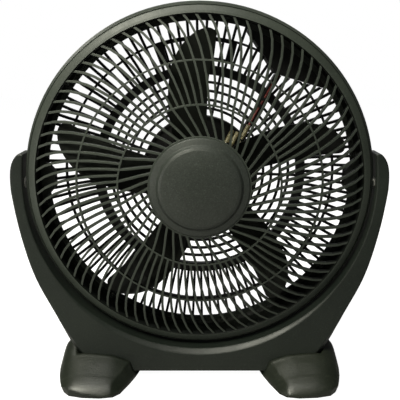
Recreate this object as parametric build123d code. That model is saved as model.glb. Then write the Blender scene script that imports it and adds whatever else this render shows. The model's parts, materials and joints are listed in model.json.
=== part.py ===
from build123d import *
import math
import os

# Round floor fan: a guarded fan head that tips between the arms of a U-shaped stand on two feet.
# Millimetres, +Z up. The air leaves towards -Y and +X is on the right, seen from the front.
# The origin is on the floor, under the middle of the tilt axis, which runs along X.

# ---- layout ----
AXIS_HEIGHT = 314.0          # fan axis and tilt axis above the floor
SEAM_Y = -10.0               # end of the front guard's skirt, inside the shroud's collar
SLIP = 0.3                   # gap between neighbouring mouldings

# ---- front guard ----
GUARD_RADIUS = 246.0         # where the ribs meet the rim
GUARD_Y = -22.0              # front of the ribs at the rim
DOME_RISE = 25.0             # how far the guard bulges forwards
OUTER_RING = 183.0
INNER_RING = 121.0
GUARD_HUB = 76.5             # disc that the ribs end on
RIB_COUNT = 86               # every other one ends at the inner ring
RIB_WIDTH = 3.3
RIB_DEPTH = 7.0
RIB_RADII = (74.5, 89.0, 104.0, 121.0, 141.0, 162.0, 183.0, 202.0, 219.0, 233.0, 247.5)  # its corners
RIB_PHASE = 91.2             # direction of one rib root, in degrees
OUTER_SWEEP = 11.9           # turn of a rib from the rim to the inner ring, in degrees
INNER_SWEEP = 12.0           # turn from the inner ring to the hub disc
BADGE_RADIUS = 74.5
BADGE_STEP_RADIUS = 61.0     # raised middle of the badge
BADGE_FRONT = -51.0
BADGE_PEGS = 3
PEG_CIRCLE = 50.0

# ---- shroud and rear guard ----
MOUTH_RADIUS = 239.4         # opening at the back of the shroud
MOUTH_Y = 33.5
REAR_RIM_RADIUS = 241.6      # inside of the rear guard's outer ring
THIN_RING = 215.5
BROAD_RING = 167.0
BROAD_RING_Y = 69.0
REAR_Y = 75.5                # front of the flat middle of the rear guard
BAR_COUNT = 100
BAR_WIDTH = 4.1
BAR_DEPTH = 5.0
REAR_RINGS = (147.7, 134.0, 119.8, 106.2)
PLATE_RADIUS = 95.0          # motor plate in the rear guard
SPOKE_COUNT = 9
SPOKE_PHASE = 38.0
SPOKE_WIDTH = 4.0
LEAD_ANGLE = 60.2            # direction of the channel for the motor's lead
LEAD_OFFSET = -28.8          # sideways distance of the channel from the fan axis
CHANNEL_WIDTH = 10.0
CHANNEL_FRONT = 61.0
CHANNEL_BACK = 80.0
CHANNEL_FLOOR = 66.5         # the lead lies in front of it
FRAME_ANGLES = (75.8, 107.0)  # stiffening frame at the top of the rear guard
REAR_SCREWS = 8
REAR_SCREW_CIRCLE = 246.8

# ---- control box, local u outwards and v counter-clockwise ----
BOX_ANGLE = 54.0
BOX_FRONT = 36.0
BOX_BACK = 82.0
BOX_WALL = 2.4
COVER_THICKNESS = 2.6
KNOB_U = 230.0
GLAND_U = 232.0
GLAND_V = -56.0
GLAND_BORE = 3.6
SWITCH_SHAFT = 3.0
KNOB_RADIUS = 17.0

# ---- motor and fan ----
SHAFT_RADIUS = 4.0
MOTOR_FRONT = 20.0
MOTOR_BACK = 64.0
MOTOR_RADIUS = 46.0
CORE_FRONT = 33.0
CORE_BACK = 53.0
ROTOR_RADIUS = 24.0
AIR_GAP = 0.35
BEARING_RADIUS = 11.0
BEARING_WIDTH = 7.0
BOLT_CIRCLE = 51.0
MOTOR_SCREW_CIRCLE = 36.0
COVER_SCREW_CIRCLE = 58.0
RUN_CLEARANCE = 0.04
HUB_RADIUS = 44.0
HUB_FRONT = -20.0
HUB_BACK = 16.0
BLADE_COUNT = 5
BLADE_PHASE = 85.3           # direction of a leading edge, in degrees
BLADE_THICKNESS = 2.4
BLADE_MIDDLE = 28.0          # sideways distance of the blade's middle from its leading edge

# ---- stand and feet ----
STAND_INNER = 267.0          # inner radius of the U
STAND_FOOT_Y = 38.0          # half depth of the stand at the bottom
STAND_ARM_Y = 20.0           # half depth of the arms at the top
TAPER_LOW = 40.0
TAPER_HIGH = 330.0
ARM_TOP = 360.0
STAND_BOTTOM = 11.4
STAND_WALL = 3.0
FOOT_HALF_LENGTH = 99.0
FOOT_MIDDLE = 170.0
FOOT_LEVELS = (              # heights, and corners of half the foot's outline from the inner side outwards
    (1.2, ((96, 0), (98.4, 22), (102.5, 38), (110.3, 60), (122, 87), (132, 96), (151, 99), (178, 97.4),
           (199.4, 92), (209, 82), (213.5, 60), (217, 36), (217, 0))),
    (14.0, ((99.8, 0), (102.2, 22), (106.5, 38), (117.7, 60), (137.8, 87), (145, 96), (158, 99), (179, 97.4),
            (200, 92), (213.5, 82), (219.5, 60), (223.5, 36), (223.5, 0))),
    (28.0, ((104, 0), (106.4, 22), (110.8, 38), (125.8, 60), (155, 87), (159, 96), (164, 99), (180, 97.4),
            (200, 92), (213.5, 82), (219.5, 60), (223.5, 36), (223.5, 0))),
    (70.0, ((116, 0), (118.6, 22), (123, 38), (138, 60), (158, 87), (161, 96), (165, 99), (180, 97.4),
            (198, 92), (209, 82), (216, 60), (220, 36), (220, 0))))
FOOT_CAMBER = ((90, 42), (101, 26), (110.5, 16), (124, 9.6), (136, 5.3), (160, 1.5), (186, 0), (203, 3),
               (213, 9), (219, 15.5), (223, 25), (226, 40))  # distances from the fan's middle, and drops
FOOT_CRESTS = [(107, -14), (97, 8.5), (92, 13.5), (80, 21.5), (60, 32.5), (38, 43.5), (0, 55)]
FOOT_WALL = 3.0
PAD_RADIUS = 7.0
PAD_HEIGHT = 4.0
PAD_SHOWS = 1.2
STAND_FACE = 12.0            # thickness of the stand's faces
SCREW_PLACES = ((242.0, 164.0), (176.0, 74.0), (100.0, 36.0))
MIDDLE_SCREW_Z = 28.5
POST_RADIUS = 5.0
FOOT_SCREW_X = (135.0, 170.0)
FOOT_SCREW_Y = 20.0
PAD_PLACES = ((146.0, 84.0), (184.0, 84.0))
PIVOT_BOLT = 4.0
PIVOT_BOSS = 9.0
BUSH_RADIUS = 9.0
CAP_RADIUS = 9.8


def front_plane(y):
    """Plane across the fan axis at depth y, with x to the right and y up, seen from the front."""
    return Plane(origin=(0, y, 0), x_dir=(1, 0, 0), z_dir=(0, -1, 0))


def slab(face, y_front, y_back):
    """A flat outline given depth along the fan axis."""
    return extrude(front_plane(y_back) * face, amount=y_back - y_front, dir=(0, -1, 0))


def turned(*points):
    """A solid turned about the fan axis from (radius, y) points."""
    return revolve(Polygon(*points, align=None), axis=Axis.Y)


def rod(radius, y_front, y_back, x=0.0, z=0.0):
    """A round bar along the fan axis."""
    return slab(Pos(x, z) * Circle(radius), y_front, y_back)


def cross_rod(radius, x_start, x_end, y=0.0, z=0.0):
    """A round bar along X."""
    plane = Plane(origin=(x_start, y, z), x_dir=(0, 1, 0), z_dir=(1, 0, 0))
    return extrude(plane * Circle(radius), amount=x_end - x_start)


def upright_rod(radius, z_start, z_end, x, y):
    """A round bar along Z."""
    return Pos(x, y, z_start) * extrude(Circle(radius), amount=z_end - z_start)


def polar(radius, degrees):
    """A point across the fan axis."""
    angle = math.radians(degrees)
    return Vector(radius * math.cos(angle), radius * math.sin(angle))


def around(shape, count, phase=0.0):
    """Evenly spaced copies about the fan axis."""
    return [Rot(0, -phase - 360.0 * index / count, 0) * shape for index in range(count)]


def at_angle(shape, degrees):
    """A shape drawn along +X, turned to a direction seen from the front."""
    return Rot(0, -degrees, 0) * shape


def mirrored(shape):
    """The matching piece on the other side of the fan."""
    return mirror(shape, about=Plane.YZ)


# ---- front guard ----
def dome_y(radius):
    return GUARD_Y - DOME_RISE * (1 - (radius / GUARD_RADIUS) ** 2)


def dome_band(radii, depth):
    """Ring of the guard's dome, in cones between the given radii."""
    front = [(radius, dome_y(radius)) for radius in radii]
    back = [(radius, y + depth) for radius, y in reversed(front)]
    return turned(*front, *back)


def rib_angle(radius):
    """Direction of a rib in degrees, counted from its root at the rim."""
    if radius >= INNER_RING:
        part = (radius - INNER_RING) / (GUARD_RADIUS - INNER_RING)
        return -OUTER_SWEEP * (1 - 0.8 * part - 0.2 * part ** 6)
    part = (radius - GUARD_HUB) / (INNER_RING - GUARD_HUB)
    return -OUTER_SWEEP - INNER_SWEEP * (1 - 1.5 * part + 0.5 * part ** 2)


def rib_edge(radii, offset):
    """One long edge of a rib: its middle line moved sideways by offset."""
    points = []
    for radius in radii:
        here = polar(radius, rib_angle(radius))
        ahead = polar(radius + 0.5, rib_angle(radius + 0.5))
        along = (ahead - here).normalized()
        points.append(here + Vector(-along.Y, along.X) * offset)
    return points


def guard_rib(radii):
    """A curved fin from the rim down to an inner radius."""
    left = rib_edge(radii, RIB_WIDTH / 2)
    right = rib_edge(radii, -RIB_WIDTH / 2)
    outline = Polygon(*left, *reversed(right), align=None)
    prism = slab(outline, GUARD_Y - DOME_RISE - 5, GUARD_Y + 15)
    return prism & dome_band((radii[0] - 3, *radii[1:-1], radii[-1] + 3), RIB_DEPTH)


def guard_rim():
    """Hollow rim: a sloping front face, a skirt that fits in the shroud, and a lip for the ribs."""
    return turned(
        (245.4, -13.5), (245.4, -22.4), (246.6, -23.7), (250.0, -22.6), (256.9, -19.4), (257.8, -18.2),
        (257.8, SEAM_Y), (255.4, SEAM_Y), (255.4, -17.2), (248.0, -20.2), (248.0, -13.5))


def front_guard():
    rim = guard_rim()
    hub = turned((0, -45.0), (GUARD_HUB, -45.0), (GUARD_HUB, -38.5), (GUARD_HUB - 3, -38.5),
                 (GUARD_HUB - 4, -41.5), (0, -41.5))
    for peg in around(rod(3.2, -50, -35, x=PEG_CIRCLE), BADGE_PEGS, 90):
        hub -= peg
    rings = [dome_band((radius - 1.3, radius + 1.3), RIB_DEPTH - 1)
             for radius in (OUTER_RING, INNER_RING)]
    long_ribs = around(guard_rib(RIB_RADII), RIB_COUNT // 2, RIB_PHASE + 360 / RIB_COUNT)
    short_ribs = around(guard_rib(RIB_RADII[3:]), RIB_COUNT // 2, RIB_PHASE)
    return rim + [hub] + rings + long_ribs + short_ribs


def badge():
    """Plain round cap on the middle of the front guard, held by three pegs."""
    step = BADGE_STEP_RADIUS
    cap = turned((0, BADGE_FRONT), (step - 4, BADGE_FRONT + 0.3), (step, BADGE_FRONT + 1.0),
                 (step + 3.6, -46.9), (BADGE_RADIUS - 1.5, -46.6), (BADGE_RADIUS, -45.4),
                 (BADGE_RADIUS, -45.0), (0, -45.0))
    return cap + around(rod(3.0, -45.5, -38.0, x=PEG_CIRCLE), BADGE_PEGS, 90)


# ---- shroud and rear guard ----
def at_rear_screws(shape):
    """Copies at the rear guard's screws: evenly spaced, but none behind the control box."""
    return around(shape, REAR_SCREWS, BOX_ANGLE)[1:]


def pivot_block():
    """Thick web in the shroud's mouth that stiffens it behind a pivot."""
    outline = Polygon((249, -37), (227, -12), (227, 12), (249, 37), align=None)
    return slab(outline, 19.5, MOUTH_Y)


def shroud():
    """Drum around the fan blades, with bosses for the pivots and for the rear guard's screws."""
    drum = turned(
        (258.1, -17.2), (258.9, -17.6), (262.8, -12.4), (263.6, -9.6), (263.8, 1.0), (262.0, 3.5),
        (258.6, 20.0), (255.4, 27.0), (251.0, MOUTH_Y), (MOUTH_RADIUS, MOUTH_Y), (MOUTH_RADIUS, 30.0),
        (247.0, 30.0), (252.0, 26.0), (255.6, 18.0), (259.2, 3.0), (261.0, 0.5), (261.0, -4.5),
        (255.6, -7.0), (255.6, SEAM_Y + SLIP), (258.1, SEAM_Y + SLIP))
    drum += both_sides(pivot_block())
    for side in (1, -1):
        drum += cross_rod(PIVOT_BOSS, 255.0 * side, 264.2 * side)
        drum -= cross_rod(PIVOT_BOLT + 0.05, 240.0 * side, 270.0 * side)
    drum += at_rear_screws(rod(4.2, 22.0, 32.0, x=REAR_SCREW_CIRCLE))
    for hole in at_rear_screws(rod(1.5, 18.0, 40.0, x=REAR_SCREW_CIRCLE)):
        drum -= hole
    return drum


def rear_dish_y(radius):
    """Front of the rear guard's sloping bars, from the shroud's mouth back to the broad ring."""
    part = (MOUTH_RADIUS - radius) / (MOUTH_RADIUS - BROAD_RING)
    return MOUTH_Y + (BROAD_RING_Y - MOUTH_Y) * math.sin(math.radians(90 * part)) ** 1.15


def rear_bar():
    """One bar of the rear guard, along +X."""
    radii = [REAR_RIM_RADIUS + 1.4 - 14.5 * step for step in range(6)]
    front = [(radius, rear_dish_y(min(radius, MOUTH_RADIUS))) for radius in radii]
    back = [(radius, y + BAR_DEPTH) for radius, y in reversed(front)]
    side_view = Polygon(*front, *back, align=None)
    return extrude(side_view, amount=BAR_WIDTH / 2, both=True)


def ring_band(inner, outer, y_front, y_back):
    return turned((inner, y_front), (outer, y_front), (outer, y_back), (inner, y_back))


def rear_frame():
    """Deep frame at the top of the rear guard: two end blocks, an inner arc and ribs between the bars."""
    low, high = FRAME_ANGLES
    middle = (low + high) / 2
    span = math.radians(high - low) / 2
    pieces = []
    for angle in (low, high):
        pieces.append(at_angle(Pos(199.5, 57.5, 0) * Box(31, 22, 11), angle))
    arc = ring_band(183.5, 187.0, 54.0, 68.0) + ring_band(211.0, 217.0, 47.0, 60.0)
    tip = 260 * math.tan(span)
    wedge = extrude(Polygon((0, 0), (260, tip), (260, -tip), align=None), amount=60, both=True)
    pieces.append(arc & at_angle(Rot(90, 0, 0) * wedge, middle))
    return pieces


def rear_guard():
    outer = ring_band(REAR_RIM_RADIUS, 251.0, MOUTH_Y + 0.1, MOUTH_Y + 4)
    thin_y = rear_dish_y(THIN_RING) - 0.5
    thin = ring_band(THIN_RING - 1.7, THIN_RING + 1.7, thin_y, thin_y + BAR_DEPTH)
    broad = ring_band(BROAD_RING - 7.25, BROAD_RING + 7.25, BROAD_RING_Y, BROAD_RING_Y + 10.5)
    rings = [ring_band(radius - 2.1, radius + 2.1, REAR_Y + 0.5, REAR_Y + 4.5) for radius in REAR_RINGS]
    plate = ring_band(14.0, PLATE_RADIUS, MOTOR_BACK + 0.1, MOTOR_BACK + 4)
    lip = ring_band(PLATE_RADIUS - 3, PLATE_RADIUS, MOTOR_BACK - 3, REAR_Y + 3)
    bars = around(rear_bar(), BAR_COUNT, 0.9)
    spoke_length = BROAD_RING - PLATE_RADIUS
    spoke_middle = (BROAD_RING + PLATE_RADIUS) / 2 - 1
    spoke = Pos(spoke_middle, REAR_Y + 2.5, 0) * Box(spoke_length, BAR_DEPTH, SPOKE_WIDTH)
    channel_size = CHANNEL_BACK - CHANNEL_FRONT
    channel = Box(114, channel_size, CHANNEL_WIDTH)
    channel = Pos(145, CHANNEL_FRONT + channel_size / 2, LEAD_OFFSET) * channel
    groove = Pos(142, CHANNEL_FLOOR - 6, LEAD_OFFSET) * Box(132, 12, CHANNEL_WIDTH - 4)
    guard = outer + [thin, broad] + rings + [plate, lip] + bars
    guard += around(spoke, SPOKE_COUNT, SPOKE_PHASE) + rear_frame()
    guard += at_angle(channel, LEAD_ANGLE)
    guard -= at_angle(groove, LEAD_ANGLE)
    guard -= slab(box_outline(SLIP), BOX_FRONT - SLIP, BOX_BACK + 10)
    holes = around(rod(2.1, 30, 80, x=MOTOR_SCREW_CIRCLE), 4, 45)
    holes += around(rod(1.6, 30, 80, x=COVER_SCREW_CIRCLE), 4)
    holes += at_rear_screws(rod(2.1, 30, 60, x=REAR_SCREW_CIRCLE))
    for hole in holes:
        guard -= hole
    return guard


def rear_guard_screws():
    screw = rod(1.45, 24.0, MOUTH_Y + 4, x=REAR_SCREW_CIRCLE)
    screw += rod(3.4, MOUTH_Y + 4, MOUTH_Y + 6.4, x=REAR_SCREW_CIRCLE)
    screw -= Pos(REAR_SCREW_CIRCLE, MOUTH_Y + 6.4, 0) * Box(4.2, 1.6, 0.9)
    screw -= Pos(REAR_SCREW_CIRCLE, MOUTH_Y + 6.4, 0) * Box(0.9, 1.6, 4.2)
    return Compound(children=at_rear_screws(screw))


# ---- control box ----
def box_point(u, v):
    """A point from outward and sideways distances at the control box."""
    angle = math.radians(BOX_ANGLE)
    return (u * math.cos(angle) - v * math.sin(angle), u * math.sin(angle) + v * math.cos(angle))


def box_outline(grow=0.0):
    """Outline of the control box: a blunt corner towards the motor and a round back along the rim."""
    corners = [(199.0, 0.0), (225.0, 72.0), (238.0, 78.0), (244.0, 68.0), (253.5, 0.0),
               (244.0, -68.0), (238.0, -78.0), (225.0, -72.0)]
    face = Polygon(*[box_point(u, v) for u, v in corners], align=None)
    face = fillet(face.vertices(), 5.0)
    return offset(face, grow) if grow else face


def box_rod(radius, y_front, y_back, u, v):
    x, z = box_point(u, v)
    return rod(radius, y_front, y_back, x, z)


def control_box():
    shell = slab(box_outline(), BOX_FRONT, BOX_BACK)
    shell -= slab(box_outline(-BOX_WALL), BOX_FRONT + BOX_WALL, BOX_BACK + 5)
    bosses = [box_rod(4.0, BOX_FRONT + 1, BOX_BACK, 233.0, v) for v in (66.0, -66.0)]
    shell += bosses
    for v in (66.0, -66.0):
        shell -= box_rod(1.4, BOX_BACK - 14, BOX_BACK + 5, 233.0, v)
    return shell - at_angle(Pos(202, 58.0, LEAD_OFFSET) * Box(24, 7, 7), LEAD_ANGLE)


def control_box_cover():
    cover = slab(box_outline(), BOX_BACK + 0.1, BOX_BACK + COVER_THICKNESS)
    cover -= box_rod(4.2, BOX_BACK - 5, BOX_BACK + 9, KNOB_U, 0.0)
    cover -= box_rod(6.05, BOX_BACK - 5, BOX_BACK + 9, GLAND_U, GLAND_V + 14)
    for v in (66.0, -66.0):
        cover -= box_rod(1.8, BOX_BACK - 5, BOX_BACK + 9, 233.0, v)
    return cover


def control_box_screws():
    screws = []
    for v in (66.0, -66.0):
        screw = box_rod(1.35, BOX_BACK - 10, BOX_BACK + COVER_THICKNESS, 233.0, v)
        screw += box_rod(3.2, BOX_BACK + COVER_THICKNESS, BOX_BACK + COVER_THICKNESS + 2.0, 233.0, v)
        screws.append(screw)
    return Compound(children=screws)


def rotary_switch():
    """Four-position switch behind the cover, bored for its turning shaft."""
    body = box_rod(13.0, BOX_BACK - 20, BOX_BACK, KNOB_U, 0.0)
    body -= box_rod(SWITCH_SHAFT + RUN_CLEARANCE, BOX_BACK - 12, BOX_BACK + 5, KNOB_U, 0.0)
    terminals = [box_rod(1.2, BOX_BACK - 26, BOX_BACK - 19, KNOB_U + du, dv)
                 for du, dv in ((7, 0), (-7, 0), (0, 7), (0, -7))]
    return body + terminals


def capacitor():
    x, z = box_point(231.0, 36.0)
    block = Rot(0, -BOX_ANGLE, 0) * Box(16, 26, 30)
    return Pos(x, BOX_BACK - 17, z) * block


def cord_gland():
    """Bush in the cover that a mains lead would pass through."""
    u, v = GLAND_U, GLAND_V + 14
    gland = box_rod(6.0, BOX_BACK - 6, BOX_BACK + COVER_THICKNESS + 9, u, v)
    gland += box_rod(8.0, BOX_BACK + COVER_THICKNESS, BOX_BACK + COVER_THICKNESS + 3, u, v)
    gland += box_rod(7.2, BOX_BACK - 6, BOX_BACK - 1, u, v)
    return gland - box_rod(GLAND_BORE, BOX_BACK - 20, BOX_BACK + 30, u, v)


def switch_shaft():
    x, z = box_point(KNOB_U, 0.0)
    shaft = rod(SWITCH_SHAFT, BOX_BACK - 11, BOX_BACK + 11, x, z)
    flat = Pos(x + 2.9, BOX_BACK + 8, z) * Box(2, 9, 8)
    return shaft - flat


def speed_knob():
    """Round knob with a grip bar, pushed on the switch shaft."""
    x, z = box_point(KNOB_U, 0.0)
    front = BOX_BACK + COVER_THICKNESS + 0.5
    knob = rod(KNOB_RADIUS, front, front + 3, x, z) + rod(KNOB_RADIUS - 3, front + 3, front + 5, x, z)
    knob += Pos(x, front + 8, z) * Box(7, 9, 2 * KNOB_RADIUS - 7)
    socket = rod(SWITCH_SHAFT + 0.02, front - 1, BOX_BACK + 11.05, x, z)
    socket -= Pos(x + 2.92, BOX_BACK + 8, z) * Box(2, 9, 8)
    return knob - socket


# ---- motor ----
def bearing(y_front):
    return ring_band(SHAFT_RADIUS + RUN_CLEARANCE, BEARING_RADIUS, y_front, y_front + BEARING_WIDTH)


def front_bracket():
    """Cast end bell on the blade side, with ears for the through bolts."""
    bell = turned((6.0, MOTOR_FRONT), (15.0, MOTOR_FRONT), (17.0, MOTOR_FRONT + 3), (38.0, MOTOR_FRONT + 3),
                  (MOTOR_RADIUS, MOTOR_FRONT + 8), (MOTOR_RADIUS, CORE_FRONT), (MOTOR_RADIUS - 4, CORE_FRONT),
                  (MOTOR_RADIUS - 4, MOTOR_FRONT + 9), (37.0, MOTOR_FRONT + 6), (15.0, MOTOR_FRONT + 6),
                  (15.0, MOTOR_FRONT + 10), (BEARING_RADIUS, MOTOR_FRONT + 10),
                  (BEARING_RADIUS, MOTOR_FRONT + 3), (6.0, MOTOR_FRONT + 3))
    return bell_with_ears(bell, CORE_FRONT - 6, CORE_FRONT)


def bell_with_ears(bell, y_front, y_back):
    ear = slab(Rectangle(12, 11), y_front, y_back)
    ears = around(Pos(BOLT_CIRCLE - 3, 0, 0) * ear, 4, 45)
    bell += ears
    vents = around(Pos(28, 0, 0) * slab(SlotOverall(13, 5), MOTOR_FRONT - 1, MOTOR_BACK + 1), 8, 22.5)
    bell -= Compound(children=vents)
    for hole in around(rod(2.1, y_front - 1, y_back + 1, x=BOLT_CIRCLE), 4, 45):
        bell -= hole
    return bell


def rear_bracket():
    """Cast end bell screwed to the rear guard's plate."""
    bell = turned((6.0, MOTOR_BACK), (MOTOR_RADIUS - 4, MOTOR_BACK), (MOTOR_RADIUS, MOTOR_BACK - 4),
                  (MOTOR_RADIUS, CORE_BACK), (MOTOR_RADIUS - 4, CORE_BACK),
                  (MOTOR_RADIUS - 4, MOTOR_BACK - 3), (15.0, MOTOR_BACK - 3), (15.0, MOTOR_BACK - 8),
                  (BEARING_RADIUS, MOTOR_BACK - 8), (BEARING_RADIUS, MOTOR_BACK - 1), (6.0, MOTOR_BACK - 1))
    bell = bell_with_ears(bell, CORE_BACK, CORE_BACK + 6)
    for hole in around(rod(1.5, MOTOR_BACK - 5, MOTOR_BACK + 1, x=MOTOR_SCREW_CIRCLE), 4, 45):
        bell -= hole
    return bell


def stator_core():
    core = ring_band(ROTOR_RADIUS + AIR_GAP, MOTOR_RADIUS, CORE_FRONT, CORE_BACK)
    slot = Pos(34, 0, 0) * slab(SlotOverall(14, 6), CORE_FRONT - 1, CORE_BACK + 1)
    core -= Compound(children=around(slot, 16))
    return core


def end_winding(y_front, y_back):
    middle = (y_front + y_back) / 2
    return turned((28.0, y_front + 1.5), (31.0, y_front), (38.0, y_front), (40.5, middle),
                  (38.0, y_back), (31.0, y_back), (28.0, y_back - 1.5))


def stator_windings():
    """Copper coils: two end turns and the bundles that lie in the slots."""
    bundle = Pos(34, 0, 0) * slab(SlotOverall(13.2, 5.2), CORE_FRONT - 1, CORE_BACK + 1)
    coils = end_winding(CORE_FRONT - 6, CORE_FRONT - 0.1) + [end_winding(CORE_BACK + 0.1, CORE_BACK + 6)]
    return coils + around(bundle, 16)


def motor_bolts():
    bolt = rod(2.0, CORE_FRONT - 8.0, CORE_BACK + 9, x=BOLT_CIRCLE)
    bolt += slab(Pos(BOLT_CIRCLE, 0) * RegularPolygon(3.8, 6), CORE_FRONT - 9.0, CORE_FRONT - 6)
    bolt += slab(Pos(BOLT_CIRCLE, 0) * RegularPolygon(3.8, 6), CORE_BACK + 6, CORE_BACK + 8.5)
    return Compound(children=around(bolt, 4, 45))


def motor_screws():
    screw = rod(1.45, MOTOR_BACK - 2.8, MOTOR_BACK + 4, x=MOTOR_SCREW_CIRCLE)
    screw += rod(3.6, MOTOR_BACK + 4, MOTOR_BACK + 6.5, x=MOTOR_SCREW_CIRCLE)
    return Compound(children=around(screw, 4, 45))


def motor_cover():
    """Vented dome over the back of the motor."""
    outside = turned((0, 68), (64, 68), (64, 74), (60, 84), (50, 90), (30, 92.5), (0, 93))
    inside = turned((0, 67), (61.5, 67), (61.5, 73.5), (58, 82), (49, 87.5), (30, 90), (0, 90.5))
    cover = outside - inside
    cover += [boss & outside for boss in around(rod(4.0, 68.1, 84.0, x=COVER_SCREW_CIRCLE), 4)]
    for hole in around(rod(1.3, 60, 78, x=COVER_SCREW_CIRCLE), 4):
        cover -= hole
    vent = Pos(32, 0, 0) * slab(SlotOverall(30, 3.4), 80, 100)
    return cover - Compound(children=around(vent, 18, 10))


def motor_cover_screws():
    screw = rod(1.25, MOTOR_BACK - 0.5, 76, x=COVER_SCREW_CIRCLE)
    screw += rod(3.0, MOTOR_BACK - 2.2, MOTOR_BACK, x=COVER_SCREW_CIRCLE)
    return Compound(children=around(screw, 4))


# ---- motor lead, held in the rear guard's channel ----
def lead_point(along, y, sideways=LEAD_OFFSET):
    """A point from the distances along and across the channel's direction."""
    spot = polar(along, LEAD_ANGLE) + polar(sideways, LEAD_ANGLE + 90)
    return (spot.X, y, spot.Y)


def tube_along(points, radius):
    """Round sleeve along straight runs joined by arcs as large as the runs allow."""
    vectors = [Vector(*point) for point in points]
    bends = []
    for before, here, after in zip(vectors, vectors[1:], vectors[2:]):
        turn = (here - before).get_angle(after - here)
        run = min((here - before).length, (after - here).length)
        bends.append(0.45 * run / math.tan(math.radians(turn / 2)))
    path = FilletPolyline(*points, radius=bends)
    start = Plane(origin=path @ 0, z_dir=path % 0)
    return sweep(start * Circle(radius), path=path)


def motor_lead():
    """Sleeved lead from the control box along the channel to the connectors."""
    return tube_along([lead_point(206, 58.0), lead_point(188, 58.4), lead_point(164, 64.0),
                       lead_point(132, 63.6), lead_point(109, 58.5)], 2.2)


def lead_connectors():
    """Insulated crimp connectors between the sleeved lead and the motor's own tails."""
    pieces = []
    for sideways, start, y in ((LEAD_OFFSET, 108.0, 58.0), (-19.0, 90.0, 55.5), (-10.0, 88.0, 55.5)):
        first = Vector(*lead_point(start, y, sideways))
        direction = Vector(*lead_point(start - 1, y - 0.4, sideways)) - first
        plane = Plane(origin=first, z_dir=direction)
        pieces.append(extrude(plane * Circle(3.6), amount=21) + extrude(plane * Circle(2.4), amount=26))
    return Compound(children=pieces)


def motor_tails():
    """Short tail from the first connector to the motor."""
    return tube_along([lead_point(81.0, 47.4), lead_point(70, 44.6), lead_point(58, 43.4, -28.0),
                       lead_point(39.8, 43.0, -27.0)], 1.4)


def lead_clips():
    """Clips that hold the sleeve down in its channel."""
    clips = []
    for along in (144.0, 156.0):
        clip = Pos(along, 60.2, LEAD_OFFSET) * Box(5, 1.4, 12.4)
        for side in (1, -1):
            clip += Pos(along, 62.9, LEAD_OFFSET + 5.7 * side) * Box(5, 5.4, 1.2)
        clips.append(at_angle(clip, LEAD_ANGLE))
    return Compound(children=clips)


# ---- turning fan ----
def motor_shaft():
    shaft = rod(SHAFT_RADIUS, -33.0, MOTOR_BACK - 1.4)
    return shaft - cross_rod(1.52, -6, 6, y=HUB_BACK - 2)


def rotor_core():
    core = ring_band(SHAFT_RADIUS, ROTOR_RADIUS, CORE_FRONT, CORE_BACK)
    cage = ring_band(12.0, ROTOR_RADIUS - 3, CORE_FRONT - 2.5, CORE_FRONT)
    return core + [cage, ring_band(12.0, ROTOR_RADIUS - 3, CORE_BACK, CORE_BACK + 2.5)]


def drive_pin():
    return cross_rod(1.5, -10, 10, y=HUB_BACK - 2)


def blade_section(distance, middle_y, drop, width):
    """Thin cambered section across a blade, at a distance from the fan axis."""
    half = width / 2
    rise = drop * half
    lower = ThreePointArc((BLADE_MIDDLE - half, middle_y + rise), (BLADE_MIDDLE, middle_y + 3.0),
                          (BLADE_MIDDLE + half, middle_y - rise))
    upper = Pos(0, BLADE_THICKNESS) * lower
    face = make_face(lower + Line(lower @ 1, upper @ 1) + upper + Line(upper @ 0, lower @ 0))
    plane = Plane(origin=(distance, 0, 0), x_dir=(0, 0, 1), z_dir=(-1, 0, 0))
    return plane * face


def blade():
    """A swept blade along +X: its leading edge is nearly radial and its other corner is rounded off."""
    twist = [blade_section(30, -4.0, 0.60, 92), blade_section(90, -4.5, 0.56, 92),
             blade_section(165, -7.0, 0.46, 92), blade_section(235, -12.0, 0.37, 92)]
    plank = loft(twist)
    leading = Spline((30, 3), (95, -3), (140, -0.8), (170, -1.5), (216, -6.5))
    tip = Spline((216, -6.5), (225, -3.5), (228, 5), (226, 14), (218, 27), (198.5, 43.5), (171.6, 54.8))
    trailing = Spline((171.6, 54.8), (145, 57), (116, 55.8), (80.5, 49), (38, 34))
    outline = make_face(leading + tip + trailing + Line(trailing @ 1, leading @ 0))
    return slab(outline, -60, 60) & plank


def fan_blades():
    """Moulded hub with five swept blades."""
    hub = turned((SHAFT_RADIUS + 0.02, HUB_FRONT), (14.0, HUB_FRONT), (16.0, HUB_FRONT + 1),
                 (36.0, HUB_FRONT + 1), (HUB_RADIUS, HUB_FRONT + 7), (HUB_RADIUS, HUB_BACK),
                 (HUB_RADIUS - 3, HUB_BACK), (HUB_RADIUS - 3, HUB_FRONT + 9), (34.0, HUB_FRONT + 4),
                 (12.0, HUB_FRONT + 4), (12.0, HUB_BACK), (SHAFT_RADIUS + 0.02, HUB_BACK))
    web = Pos(26, -1, 0) * Box(32, 26, 2.2)
    fan = hub + around(web, 6) + around(blade(), BLADE_COUNT, BLADE_PHASE)
    fan -= cross_rod(1.52, -11, 11, y=HUB_BACK - 2)
    core = rod(HUB_RADIUS - 3.2, HUB_FRONT + 9.5, HUB_BACK + 5) - rod(12.0, HUB_FRONT, HUB_BACK + 9)
    inside = core - Compound(children=around(web, 6))
    return fan - inside


def spinner_nut():
    """Hand nut that holds the blades on the shaft."""
    nut = turned((0, -36.0), (8.0, -36.0), (11.0, -34.0), (13.0, -24.0), (13.0, HUB_FRONT - 0.1),
                 (SHAFT_RADIUS + 0.02, HUB_FRONT - 0.1), (SHAFT_RADIUS + 0.02, -33.2), (0, -33.2))
    flute = rod(2.2, -40, HUB_FRONT + 1, x=13.5)
    return nut - Compound(children=around(flute, 8))


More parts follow.
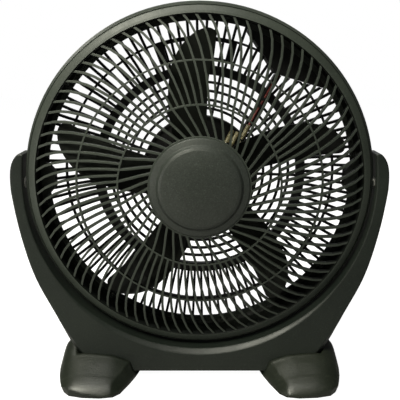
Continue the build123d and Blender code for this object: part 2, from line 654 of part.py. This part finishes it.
# ---- stand ----
def stand_outline(grow=0.0):
    """Half outline of the U on the +X side, in x and height above the floor, moved outwards by grow."""
    inner = STAND_INNER - grow
    top_z = ARM_TOP + grow
    bottom_z = STAND_BOTTOM - grow
    arm_inside = (math.sqrt(inner ** 2 - (top_z - AXIS_HEIGHT) ** 2), top_z)
    bottom_inside = (0, AXIS_HEIGHT - inner)
    diagonal = (inner * math.sin(math.radians(50)), AXIS_HEIGHT - inner * math.cos(math.radians(50)))
    inside = ThreePointArc(bottom_inside, diagonal, arm_inside)
    corner = Spline((271 + grow, top_z), (279.5 + grow, 349), (284 + grow, 333), (284.6 + grow, 306))
    flank = Spline((284.6 + grow, 306), (278 + grow, 259), (268 + grow, 212), (252.6 + grow, 163),
                   (228.8 + grow, 114), (217.8 + grow, 90), (210.2 + grow, 68), (193.5 + grow, 40))
    base = Polyline((193.5 + grow, 40), (187.5 + grow, bottom_z), (0, bottom_z), bottom_inside)
    top = Line(arm_inside, corner @ 0)
    return make_face(inside + top + corner + flank + base)


def face_depth(z):
    """Half depth of the stand at a height: its faces lean together towards the arms."""
    part = (z - TAPER_LOW) / (TAPER_HIGH - TAPER_LOW)
    return STAND_FOOT_Y + (STAND_ARM_Y - STAND_FOOT_Y) * min(max(part, 0), 1)


def stand_block(grow=0.0, inset=0.0):
    """The U as one solid, both halves together, with leaning faces moved inwards by inset."""
    side = Polygon(*[(sign * (face_depth(z) - inset), z) for sign, heights in
                     ((1, (-20, TAPER_LOW, TAPER_HIGH, 420)), (-1, (420, TAPER_HIGH, TAPER_LOW, -20)))
                     for z in heights], align=None)
    right = slab(stand_outline(grow), -60, 60) & extrude(Plane.YZ * side, amount=320, dir=(1, 0, 0))
    return right + mirrored(right)


def inner_bevel():
    """Bevel around the inside of both faces of the U, widest at the bottom where the faces are deepest."""
    deep = STAND_FOOT_Y + 2
    cone = turned((STAND_INNER - 2, deep - 12), (STAND_INNER + 9, deep), (STAND_INNER - 2, deep))
    both = cone + mirror(cone, about=Plane.XZ)
    return Pos(0, 0, AXIS_HEIGHT) * both


def waist_facet():
    """Facet that widens down the front outer flank of the stand towards the foot."""
    top = Vector(236.5, -33.6, 123.0)
    face_low = Vector(195.5, -36.9, 58.0)
    side_low = Vector(205.0, -28.0, 58.0)
    normal = (face_low - top).cross(side_low - top)
    if normal.X < 0:
        normal = normal * -1
    facet = Plane(origin=top, z_dir=normal) * extrude(Rectangle(300, 300), amount=60)
    facet += mirror(facet, about=Plane.XZ)
    return facet + mirrored(facet)


def both_sides(shape):
    return [shape, mirrored(shape)]


def stand_posts(radius, y_front, y_back):
    """Round posts or holes at every place where a screw joins the halves."""
    posts = [rod(radius, y_front, y_back, side * x, z) for x, z in SCREW_PLACES for side in (1, -1)]
    return posts + [rod(radius, y_front, y_back, 0, MIDDLE_SCREW_Z)]


def whole_stand():
    """Both halves of the U together: hollow, with screw posts and hubs for the tilt bushes."""
    block = stand_block() - inner_bevel() - waist_facet()
    hollow = stand_block(-STAND_WALL, STAND_FACE) & Box(700, 200, 1000)
    stand = block - hollow
    stand += [post & block for post in stand_posts(POST_RADIUS, -60, 60)]
    hub = cross_rod(15.0, STAND_INNER - 2, 283.0, z=AXIS_HEIGHT) & block
    stand += both_sides(hub)
    for bore in both_sides(cross_rod(BUSH_RADIUS, 255, 277, z=AXIS_HEIGHT)):
        stand -= bore
    for bore in both_sides(cross_rod(CAP_RADIUS, 276.5, 300, z=AXIS_HEIGHT)):
        stand -= bore
    for x in FOOT_SCREW_X:
        for y in (-FOOT_SCREW_Y, FOOT_SCREW_Y):
            post = upright_rod(5.0, STAND_BOTTOM, STAND_BOTTOM + 24, x, y)
            hole = upright_rod(1.6, STAND_BOTTOM - 2, STAND_BOTTOM + 20, x, y)
            stand += both_sides(post & block)
            stand -= both_sides(hole)
    return stand


def stand_front(stand):
    half = stand & Pos(0, -100, 200) * Box(800, 200, 600)
    return half - stand_posts(1.6, -14, 1)


def stand_rear(stand):
    half = stand & Pos(0, 100, 200) * Box(800, 200, 600)
    return half - stand_posts(2.1, -1, 60) - stand_posts(3.9, 14, 60)


def stand_screws():
    """Screws from the back, sunk in the posts of the rear half."""
    shanks = stand_posts(1.55, -12, 14)
    heads = stand_posts(3.6, 14, 16.6)
    return Compound(children=[shank + head for shank, head in zip(shanks, heads)])


# ---- tilt pivots ----
def pivot_bushes():
    """Plastic bushes clamped between the stand's halves, one in each arm."""
    bush = cross_rod(BUSH_RADIUS - 0.03, STAND_INNER - 0.6, 276.0, z=AXIS_HEIGHT)
    bush -= cross_rod(PIVOT_BOLT + RUN_CLEARANCE, 255, 290, z=AXIS_HEIGHT)
    return Compound(children=both_sides(bush))


def pivot_bolts():
    """Bolts through the bushes into the shroud's bosses, about the tilt axis."""
    bolt = cross_rod(PIVOT_BOLT, 254.6, 276.4) + cross_rod(7.0, 276.4, 279.6)
    socket = Plane(origin=(277.6, 0, 0), x_dir=(0, 1, 0), z_dir=(1, 0, 0)) * RegularPolygon(2.9, 6)
    bolt -= extrude(socket, amount=5)
    return Compound(children=both_sides(bolt))


def friction_washers():
    """Washers that hold the head at the angle where it is put."""
    washer = cross_rod(BUSH_RADIUS, 264.3, 266.1) - cross_rod(PIVOT_BOLT + 0.05, 250, 280)
    return Compound(children=both_sides(washer))


def pivot_caps():
    """Round caps flush with the outside of the arms."""
    cap = cross_rod(CAP_RADIUS - 0.1, 280.4, 284.0, z=AXIS_HEIGHT)
    cap = chamfer(cap.edges().group_by(Axis.X)[-1], 0.8)
    return Compound(children=both_sides(cap))


# ---- feet ----
def foot_plan(z, half, inset):
    """Plan outline of a foot at a height, from the corners of its front half, moved inwards by inset."""
    shrink = 1 - inset / FOOT_HALF_LENGTH
    moved = [(x + inset if x < FOOT_MIDDLE else x - inset, y * shrink) for x, y in half]
    points = moved + [(x, -y) for x, y in reversed(moved) if y > 0]
    return Pos(0, 0, z) * Polygon(*points, align=None)


def foot_section(y, crest, inset):
    """Section of a foot below its cambered top, across the foot at depth y."""
    top = Spline(*[(x, crest - drop - inset) for x, drop in FOOT_CAMBER])
    edge = Polyline(top @ 1, (FOOT_CAMBER[-1][0], -90), (FOOT_CAMBER[0][0], -90), top @ 0)
    return front_plane(y) * make_face(top + edge)


def foot_block(inset=0.0):
    """Solid of a foot: slanted flanks, rounded noses at the front and the rear, and a cambered top."""
    flanks = loft([foot_plan(z, half, inset) for z, half in FOOT_LEVELS], ruled=True)
    reach = FOOT_CRESTS + [(-y, crest) for y, crest in reversed(FOOT_CRESTS) if y > 0]
    return flanks & loft([foot_section(y, crest, inset) for y, crest in reach])


def foot():
    """Right foot: a shell with a socket for the stand, seats for rubber pads and screw holes."""
    body = foot_block()
    under = foot_block(FOOT_WALL) & Pos(150, 0, 0) * Box(300, 144, 200)
    floor = Pos(150, 0, 58) * Box(300, 2 * STAND_FOOT_Y + 7, 100)
    body -= under - floor
    body -= stand_block(0.4, -0.4)
    for x, y in PAD_PLACES:
        for end in (y, -y):
            body -= upright_rod(PAD_RADIUS + 0.1, -1, PAD_HEIGHT, x, end)
    for x in FOOT_SCREW_X:
        for y in (-FOOT_SCREW_Y, FOOT_SCREW_Y):
            body -= upright_rod(2.1, -1, 20, x, y)
    return body


def rubber_pads():
    pads = []
    for x, y in PAD_PLACES:
        for end in (y, -y):
            pad = upright_rod(PAD_RADIUS, 0, PAD_HEIGHT, x, end)
            pads += both_sides(chamfer(pad.edges().group_by(Axis.Z)[0], 0.5))
    return Compound(children=pads)


def foot_screws():
    """Screws up through the feet into the stand."""
    screws = []
    for x in FOOT_SCREW_X:
        for y in (-FOOT_SCREW_Y, FOOT_SCREW_Y):
            screw = upright_rod(1.55, 8, STAND_BOTTOM + 18, x, y) + upright_rod(4.0, 5.2, 8, x, y)
            screws += both_sides(screw)
    return Compound(children=screws)


HEAD = {
    "front_guard": front_guard, "badge": badge, "shroud": shroud, "rear_guard": rear_guard,
    "rear_guard_screws": rear_guard_screws, "pivot_bolts": pivot_bolts, "friction_washers": friction_washers,
    "control_box": control_box, "control_box_cover": control_box_cover,
    "control_box_screws": control_box_screws, "rotary_switch": rotary_switch, "capacitor": capacitor,
    "cord_gland": cord_gland, "switch_shaft": switch_shaft, "speed_knob": speed_knob,
    "motor_front_bracket": front_bracket, "motor_rear_bracket": rear_bracket, "stator_core": stator_core,
    "stator_windings": stator_windings, "motor_bolts": motor_bolts, "motor_screws": motor_screws,
    "motor_cover": motor_cover, "motor_cover_screws": motor_cover_screws, "motor_lead": motor_lead,
    "lead_connectors": lead_connectors, "motor_tails": motor_tails, "lead_clips": lead_clips,
    "motor_shaft": motor_shaft, "rotor_core": rotor_core, "drive_pin": drive_pin,
    "fan_blades": fan_blades, "spinner_nut": spinner_nut,
}


def save(name, shape):
    export_step(shape, os.path.join("parts", name + ".step"))


def main():
    os.makedirs("parts", exist_ok=True)
    for name, make in HEAD.items():
        save(name, Pos(0, 0, AXIS_HEIGHT) * make())
    save("front_bearing", Pos(0, 0, AXIS_HEIGHT) * bearing(MOTOR_FRONT + 3))
    save("rear_bearing", Pos(0, 0, AXIS_HEIGHT) * bearing(MOTOR_BACK - 1 - BEARING_WIDTH))
    stand = whole_stand()
    save("stand_front", stand_front(stand))
    save("stand_rear", stand_rear(stand))
    save("stand_screws", stand_screws())
    save("pivot_bushes", pivot_bushes())
    save("pivot_caps", pivot_caps())
    right_foot = foot()
    save("foot_right", right_foot)
    save("foot_left", mirrored(right_foot))
    save("rubber_pads", rubber_pads())
    save("foot_screws", foot_screws())


if __name__ == "__main__":
    main()
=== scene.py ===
import json
import math

import bpy
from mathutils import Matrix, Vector

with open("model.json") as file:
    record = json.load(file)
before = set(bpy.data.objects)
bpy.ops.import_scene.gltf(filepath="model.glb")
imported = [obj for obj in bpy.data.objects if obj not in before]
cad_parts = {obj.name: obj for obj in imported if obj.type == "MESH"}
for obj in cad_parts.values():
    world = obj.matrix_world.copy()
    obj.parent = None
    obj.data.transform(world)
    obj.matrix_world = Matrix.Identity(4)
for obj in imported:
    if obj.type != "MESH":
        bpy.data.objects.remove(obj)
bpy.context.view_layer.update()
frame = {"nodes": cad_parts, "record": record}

CAMERA_PLACE = (0.0, -0.850, 0.505)
CAMERA_DOWN = 14.5          # degrees below level
CAMERA_ASIDE = 0.04         # degrees clockwise, seen from above
LENS = 50.9
SENSOR_WIDTH = 36.0

WHITE = (1.0, 1.0, 1.0)
AMBIENT = 0.05              # how strongly the white surroundings light the fan
FLOOR_REACH = 6.0
FLOOR_GREY = 0.42
FLOOR_GLOW = 0.97           # how bright the floor is to the camera

# name: place, what it points at, width and height, power, colour
LIGHTS = {
    "key": ((-0.66, -0.85, 1.50), (0.0, 0.0, 0.30), (0.50, 0.40), 27.5, (1.0, 0.99, 0.84)),
    "side": ((-1.25, -0.85, 0.25), (-0.1, 0.0, 0.15), (0.35, 0.50), 3.0, (1.0, 0.98, 0.90)),
    "fill": ((1.3, -1.6, 0.7), (0.0, 0.0, 0.30), (1.2, 1.2), 0.8, (0.86, 0.95, 1.0)),
    "back": ((0.2, 1.6, 1.2), (0.0, 0.0, 0.30), (1.6, 1.0), 4.0, WHITE),
    "edge": ((-0.85, 0.75, 1.15), (0.0, 0.0, 0.30), (0.6, 0.4), 4.0, (1.0, 0.99, 0.88)),
    "top": ((-0.10, -0.34, 1.25), (-0.03, -0.09, 0.02), (0.50, 0.16), 3.6, (1.0, 0.99, 0.90)),
}

PLASTIC_SPECULAR = 0.45
INSIDE_SPECULAR = 0.06      # on the faces of a round piece that look at its axis
FLAT_RADIUS = (0.006, 0.016)  # a domed front is flat within the first, free of that from the second

nodes = frame["nodes"]


# ---- camera, lights and floor ----
def place(name, data, location):
    made = bpy.data.objects.new(name, data)
    bpy.context.collection.objects.link(made)
    made.location = location
    return made


def make_camera():
    """A close camera above the fan's axis, looking slightly down."""
    data = bpy.data.cameras.new("camera")
    data.lens = LENS
    data.sensor_width = SENSOR_WIDTH
    data.dof.use_dof = False
    camera = place("camera", data, CAMERA_PLACE)
    camera.rotation_euler = (math.radians(90 - CAMERA_DOWN), 0.0, math.radians(-CAMERA_ASIDE))
    bpy.context.scene.camera = camera


def make_light(name, location, target, size, power, colour):
    data = bpy.data.lights.new(name, "AREA")
    data.shape = "RECTANGLE"
    data.size, data.size_y = size
    data.energy = power
    data.color = colour
    lamp = place(name, data, location)
    lamp.rotation_euler = (Vector(target) - Vector(location)).to_track_quat("-Z", "Y").to_euler()


def seen_or_not(tree, unseen, seen):
    """Value `seen` where the camera looks straight at a thing, and `unseen` for all other rays."""
    path = tree.nodes.new("ShaderNodeLightPath")
    choice = tree.nodes.new("ShaderNodeMapRange")
    choice.inputs["To Min"].default_value = unseen
    choice.inputs["To Max"].default_value = seen
    tree.links.new(path.outputs["Is Camera Ray"], choice.inputs["Value"])
    return choice.outputs["Result"]


def make_world():
    """White surroundings: bright behind the fan, softer as a light on it."""
    world = bpy.data.worlds.new("studio")
    world.use_nodes = True
    tree = world.node_tree
    background = tree.nodes["Background"]
    tree.links.new(seen_or_not(tree, AMBIENT, 1.0), background.inputs["Strength"])
    background.inputs["Color"].default_value = (*WHITE, 1.0)
    bpy.context.scene.world = world


def make_floor():
    """Plain white floor, lit so evenly that its far edge melts into the white surroundings."""
    reach = FLOOR_REACH
    mesh = bpy.data.meshes.new("floor")
    corners = [(-reach, -reach, 0), (reach, -reach, 0), (reach, reach, 0), (-reach, reach, 0)]
    mesh.from_pydata(corners, [], [(0, 1, 2, 3)])
    floor = place("floor", mesh, (0.0, 0.0, 0.0))
    material = bpy.data.materials.new("floor")
    material.use_nodes = True
    tree = material.node_tree
    shader = tree.nodes["Principled BSDF"]
    shader.inputs["Base Color"].default_value = (FLOOR_GREY, FLOOR_GREY, FLOOR_GREY, 1.0)
    shader.inputs["Roughness"].default_value = 0.8
    shader.inputs["Emission Color"].default_value = (*WHITE, 1.0)
    tree.links.new(seen_or_not(tree, 0.0, FLOOR_GLOW), shader.inputs["Emission Strength"])
    floor.data.materials.append(material)


bpy.context.scene.view_settings.view_transform = "Standard"
make_camera()
make_world()
make_floor()
for lamp_name, settings in LIGHTS.items():
    make_light(lamp_name, *settings)


# ---- materials ----
class Shader:
    """A node material with a few helpers, so that each finish below reads as a recipe."""

    def __init__(self, name):
        self.material = bpy.data.materials.new(name)
        self.material.use_nodes = True
        self.tree = self.material.node_tree
        self.surface = self.tree.nodes["Principled BSDF"]
        coordinates = self.tree.nodes.new("ShaderNodeTexCoord")
        self.place = coordinates.outputs["Object"]
        self.own_normal = coordinates.outputs["Normal"]

    def node(self, kind, **values):
        made = self.tree.nodes.new(kind)
        for key, value in values.items():
            if key in made.inputs:
                made.inputs[key].default_value = value
            else:
                setattr(made, key, value)
        return made

    def link(self, output, socket):
        self.tree.links.new(output, socket)

    def vector_math(self, operation, *values):
        """Result of a vector operation on outputs of nodes and plain vectors."""
        made = self.node("ShaderNodeVectorMath", operation=operation)
        for socket, value in zip(made.inputs, values):
            if isinstance(value, (tuple, Vector)):
                socket.default_value = value
            else:
                self.link(value, socket)
        return made.outputs["Value" if operation in ("DOT_PRODUCT", "LENGTH") else "Vector"]

    def noise(self, scale, detail=2.0, roughness=0.5):
        made = self.node("ShaderNodeTexNoise", Scale=scale, Detail=detail, Roughness=roughness)
        self.link(self.place, made.inputs["Vector"])
        return made.outputs["Fac"]

    def ramp(self, value, low, high, out_low, out_high):
        made = self.node("ShaderNodeMapRange")
        made.inputs["From Min"].default_value = low
        made.inputs["From Max"].default_value = high
        made.inputs["To Min"].default_value = out_low
        made.inputs["To Max"].default_value = out_high
        self.link(value, made.inputs["Value"])
        return made.outputs["Result"]

    def mix(self, factor, first, second):
        made = self.node("ShaderNodeMix", data_type="RGBA")
        self.link(factor, made.inputs["Factor"])
        for socket, colour in ((made.inputs[6], first), (made.inputs[7], second)):
            if isinstance(colour, tuple):
                socket.default_value = (*colour, 1.0)
            else:
                self.link(colour, socket)
        return made.outputs[2]

    def multiply(self, first, second):
        made = self.node("ShaderNodeMath", operation="MULTIPLY")
        self.link(first, made.inputs[0])
        self.link(second, made.inputs[1])
        return made.outputs[0]

    def add(self, first, second, factor=1.0):
        """first + second * factor"""
        made = self.node("ShaderNodeMath", operation="MULTIPLY_ADD")
        self.link(second, made.inputs[0])
        made.inputs[1].default_value = factor
        self.link(first, made.inputs[2])
        return made.outputs[0]

    def soft_normal(self, radius, samples=6):
        """The normal with every corner rounded."""
        return self.node("ShaderNodeBevel", samples=samples, Radius=radius).outputs["Normal"]

    def edge_mask(self, radius):
        """0 on open surfaces and towards 1 along corners."""
        geometry = self.node("ShaderNodeNewGeometry")
        rounded = self.soft_normal(radius, samples=4)
        likeness = self.vector_math("DOT_PRODUCT", rounded, geometry.outputs["Normal"])
        return self.ramp(likeness, 0.995, 0.80, 0.0, 1.0)

    def from_axis(self, middle):
        """Offset from the fan's axis, which runs along Y through middle."""
        offset = self.vector_math("SUBTRACT", self.place, middle)
        return self.vector_math("MULTIPLY", offset, (1.0, 0.0, 1.0))

    def domed(self, normal, offset, dome):
        """The normal leaning outwards in proportion to the offset from the fan's axis.

        Close to the axis it faces straight forwards, whatever the mesh says there.
        """
        distance = self.vector_math("LENGTH", offset)
        middle = self.ramp(distance, *FLAT_RADIUS, 30.0, 0.0)
        forwards = self.vector_math("MULTIPLY", (0.0, -1.0, 0.0), middle)
        lean = self.vector_math("MULTIPLY_ADD", offset, (dome, dome, dome), forwards)
        in_world = self.node("ShaderNodeVectorTransform", vector_type="VECTOR",
                             convert_from="OBJECT", convert_to="WORLD")
        self.link(lean, in_world.inputs[0])
        total = self.vector_math("ADD", normal, in_world.outputs[0])
        return self.vector_math("NORMALIZE", total)

    def bump(self, height, distance, strength, normal=None):
        made = self.node("ShaderNodeBump", Distance=distance, Strength=strength)
        self.link(height, made.inputs["Height"])
        if normal is not None:
            self.link(normal, made.inputs["Normal"])
        self.link(made.outputs["Normal"], self.surface.inputs["Normal"])

    def colour(self, output):
        self.link(output, self.surface.inputs["Base Color"])

    def rough(self, output):
        self.link(output, self.surface.inputs["Roughness"])


def scaled(colour, factor, lift=0.0):
    return tuple(min(1.0, part * factor + lift) for part in colour)


def round_middle(node_name):
    """Middle of a round piece across the fan's axis, in the piece's own coordinates."""
    corners = [Vector(corner) for corner in nodes[node_name].bound_box]
    return sum(corners, Vector()) / len(corners)


def worn_colour(shader, grain, dark, light):
    """Uneven plastic colour with light specks and paler corners."""
    drift = shader.noise(9.0, 3.0)
    mottle = shader.add(drift, shader.noise(grain * 0.6, 4.0, 0.75), 1.6)
    colour = shader.mix(shader.ramp(mottle, 1.0, 1.6, 0.0, 1.0), dark, light)
    speckle = shader.ramp(shader.noise(grain * 0.45, 1.0), 0.62, 0.75, 0.0, 0.55)
    colour = shader.mix(speckle, colour, scaled(light, 1.5, 0.004))
    scuffs = shader.ramp(shader.noise(60.0, 4.0, 0.7), 0.42, 0.62, 0.1, 0.8)
    wear = shader.multiply(shader.edge_mask(0.0005), scuffs)
    return shader.mix(wear, colour, scaled(light, 1.6, 0.006))


def moulded_plastic(name, dark, light, rough, grain=900.0, grain_depth=0.00012, soft=0.0008,
                    round_node=None, painted_inner_shade=1.0, dome=0.0):
    """Spark-eroded moulded plastic: fine grain, colour drift, uneven sheen and lighter corners.

    Faces of a round piece that look towards its axis can be painted darker, as painted shade
    standing in for the shadow within it, and its front slightly domed.
    """
    shader = Shader(name)
    shader.surface.inputs["Specular IOR Level"].default_value = PLASTIC_SPECULAR
    colour = worn_colour(shader, grain, dark, light)
    normal = shader.soft_normal(soft)
    if round_node:
        offset = shader.from_axis(round_middle(round_node))
    if painted_inner_shade < 1.0:
        outwards = shader.vector_math("NORMALIZE", offset)
        facing = shader.vector_math("DOT_PRODUCT", outwards, shader.own_normal)
        turned_in = shader.ramp(facing, -0.2, -0.5, 0.0, 1.0)
        # painted shade: faces turned towards the axis are mixed towards a darker colour, standing
        # in for the shadow within the round piece, and they also lose shine
        colour = shader.mix(turned_in, colour, scaled(dark, painted_inner_shade))
        shine = shader.ramp(turned_in, 0.0, 1.0, PLASTIC_SPECULAR, INSIDE_SPECULAR)
        shader.link(shine, shader.surface.inputs["Specular IOR Level"])
    if dome:
        normal = shader.domed(normal, offset, dome)
    shader.colour(colour)
    fine = shader.noise(grain, 3.0, 0.6)
    sheen = shader.ramp(shader.noise(34.0, 5.0, 0.65), 0.3, 0.7, rough - 0.05, rough + 0.07)
    shader.rough(shader.add(sheen, fine, 0.05))
    height = shader.add(fine, shader.noise(grain * 0.28, 2.0), 0.6)
    shader.bump(height, grain_depth, 0.6, normal)
    return shader.material


def plain_metal(name, colour, rough, scratch=180.0):
    """Plated or cast metal with fine uneven polish."""
    shader = Shader(name)
    shader.surface.inputs["Metallic"].default_value = 1.0
    cloud = shader.noise(scratch, 4.0, 0.65)
    polish = shader.ramp(cloud, 0.35, 0.7, 0.0, 1.0)
    shader.colour(shader.mix(polish, scaled(colour, 0.78), colour))
    shader.rough(shader.ramp(cloud, 0.3, 0.7, rough - 0.06, rough + 0.1))
    shader.bump(shader.noise(scratch * 4, 3.0), 0.00005, 0.5, shader.soft_normal(0.0003))
    return shader.material


def laminated_steel(name):
    """Stacked sheets: fine stripes along the fan's axis."""
    shader = Shader(name)
    shader.surface.inputs["Metallic"].default_value = 0.9
    stripes = shader.node("ShaderNodeTexWave", Scale=320.0, Distortion=0.3, bands_direction="Y")
    shader.link(shader.place, stripes.inputs["Vector"])
    lines = stripes.outputs["Fac"]
    shader.colour(shader.mix(lines, (0.12, 0.12, 0.125), (0.30, 0.30, 0.31)))
    shader.rough(shader.ramp(lines, 0.0, 1.0, 0.55, 0.38))
    shader.bump(lines, 0.0002, 0.6)
    return shader.material


def wound_copper(name):
    """Enamelled wire laid in turns."""
    shader = Shader(name)
    shader.surface.inputs["Metallic"].default_value = 0.7
    wire = shader.node("ShaderNodeTexWave", Scale=420.0, Distortion=2.5, Detail=2.0,
                       bands_direction="DIAGONAL")
    shader.link(shader.place, wire.inputs["Vector"])
    turns = wire.outputs["Fac"]
    shader.colour(shader.mix(turns, (0.16, 0.05, 0.02), (0.62, 0.25, 0.09)))
    shader.rough(shader.ramp(turns, 0.0, 1.0, 0.5, 0.28))
    shader.bump(turns, 0.0004, 0.9)
    return shader.material


def soft_sleeve(name, dark, light, rough=0.42):
    """Flexible insulation with slight unevenness."""
    shader = Shader(name)
    cloud = shader.noise(150.0, 3.0)
    shader.colour(shader.mix(shader.ramp(cloud, 0.35, 0.65, 0.0, 1.0), dark, light))
    shader.rough(shader.ramp(cloud, 0.3, 0.7, rough - 0.08, rough + 0.1))
    shader.bump(shader.noise(700.0, 2.0), 0.0001, 0.5)
    return shader.material


def rubber(name):
    """Matte black rubber with a dusty bloom."""
    shader = Shader(name)
    dust = shader.noise(120.0, 4.0, 0.7)
    bloom = shader.ramp(dust, 0.45, 0.75, 0.0, 1.0)
    shader.colour(shader.mix(bloom, (0.010, 0.010, 0.010), (0.045, 0.044, 0.042)))
    shader.rough(shader.ramp(dust, 0.3, 0.7, 0.72, 0.9))
    shader.bump(shader.noise(900.0, 2.0), 0.0001, 0.6)
    return shader.material


# slot: darker and lighter colour, roughness, further settings
# The guard and the shroud get painted shade: their faces turned towards the axis are coloured
# darker by the last setting.
PLASTICS = {
    "guard_plastic": ((0.021, 0.027, 0.021), (0.042, 0.050, 0.040), 0.44,
                      {"round_node": "front_guard", "painted_inner_shade": 0.22}),
    "badge_plastic": ((0.019, 0.023, 0.019), (0.041, 0.047, 0.041), 0.40,
                      {"grain": 800.0, "grain_depth": 0.00026, "round_node": "badge", "dome": 4.6}),
    "stand_plastic": ((0.006, 0.009, 0.007), (0.015, 0.020, 0.015), 0.40,
                      {"grain_depth": 0.00014, "soft": 0.0045}),
    "foot_plastic": ((0.007, 0.010, 0.007), (0.022, 0.026, 0.018), 0.31,
                     {"grain": 800.0, "grain_depth": 0.00020, "soft": 0.0060}),
    "dark_plastic": ((0.005, 0.005, 0.005), (0.009, 0.009, 0.009), 0.50, {}),
    "shroud_plastic": ((0.026, 0.031, 0.026), (0.050, 0.058, 0.049), 0.34,
                       {"round_node": "shroud", "painted_inner_shade": 0.35}),
    "blade_plastic": ((0.010, 0.012, 0.009), (0.016, 0.018, 0.014), 0.34,
                      {"grain": 700.0, "grain_depth": 0.00006}),
    "knob_plastic": ((0.014, 0.015, 0.014), (0.022, 0.023, 0.021), 0.38, {}),
    "bush_plastic": ((0.60, 0.59, 0.54), (0.70, 0.69, 0.64), 0.45, {}),
    "switch_plastic": ((0.52, 0.50, 0.44), (0.62, 0.60, 0.54), 0.45, {}),
    "capacitor_case": ((0.55, 0.55, 0.53), (0.66, 0.66, 0.63), 0.32, {}),
}
# slot: maker and what it takes after the name
OTHERS = {
    "plated_steel": (plain_metal, (0.56, 0.56, 0.54), 0.34),
    "cast_bracket": (plain_metal, (0.52, 0.52, 0.52), 0.52, 90.0),
    "core_steel": (laminated_steel,),
    "copper_windings": (wound_copper,),
    "pad_rubber": (rubber,),
    "gland_rubber": (rubber,),
    "red_sleeve": (soft_sleeve, (0.13, 0.018, 0.018), (0.27, 0.055, 0.045)),
    "connector_sleeve": (soft_sleeve, (0.18, 0.15, 0.07), (0.42, 0.38, 0.22), 0.35),
    "tail_insulation": (soft_sleeve, (0.17, 0.14, 0.06), (0.34, 0.30, 0.17)),
}

finishes = {}
for slot, (dark, light, rough, further) in PLASTICS.items():
    finishes[slot] = moulded_plastic(slot, dark, light, rough, **further)
for slot, (maker, *recipe) in OTHERS.items():
    finishes[slot] = maker(slot, *recipe)
for part in frame["record"]["subparts"]:
    for holder in nodes[part["node"]].material_slots:
        holder.material = finishes[part["material_slot"]]
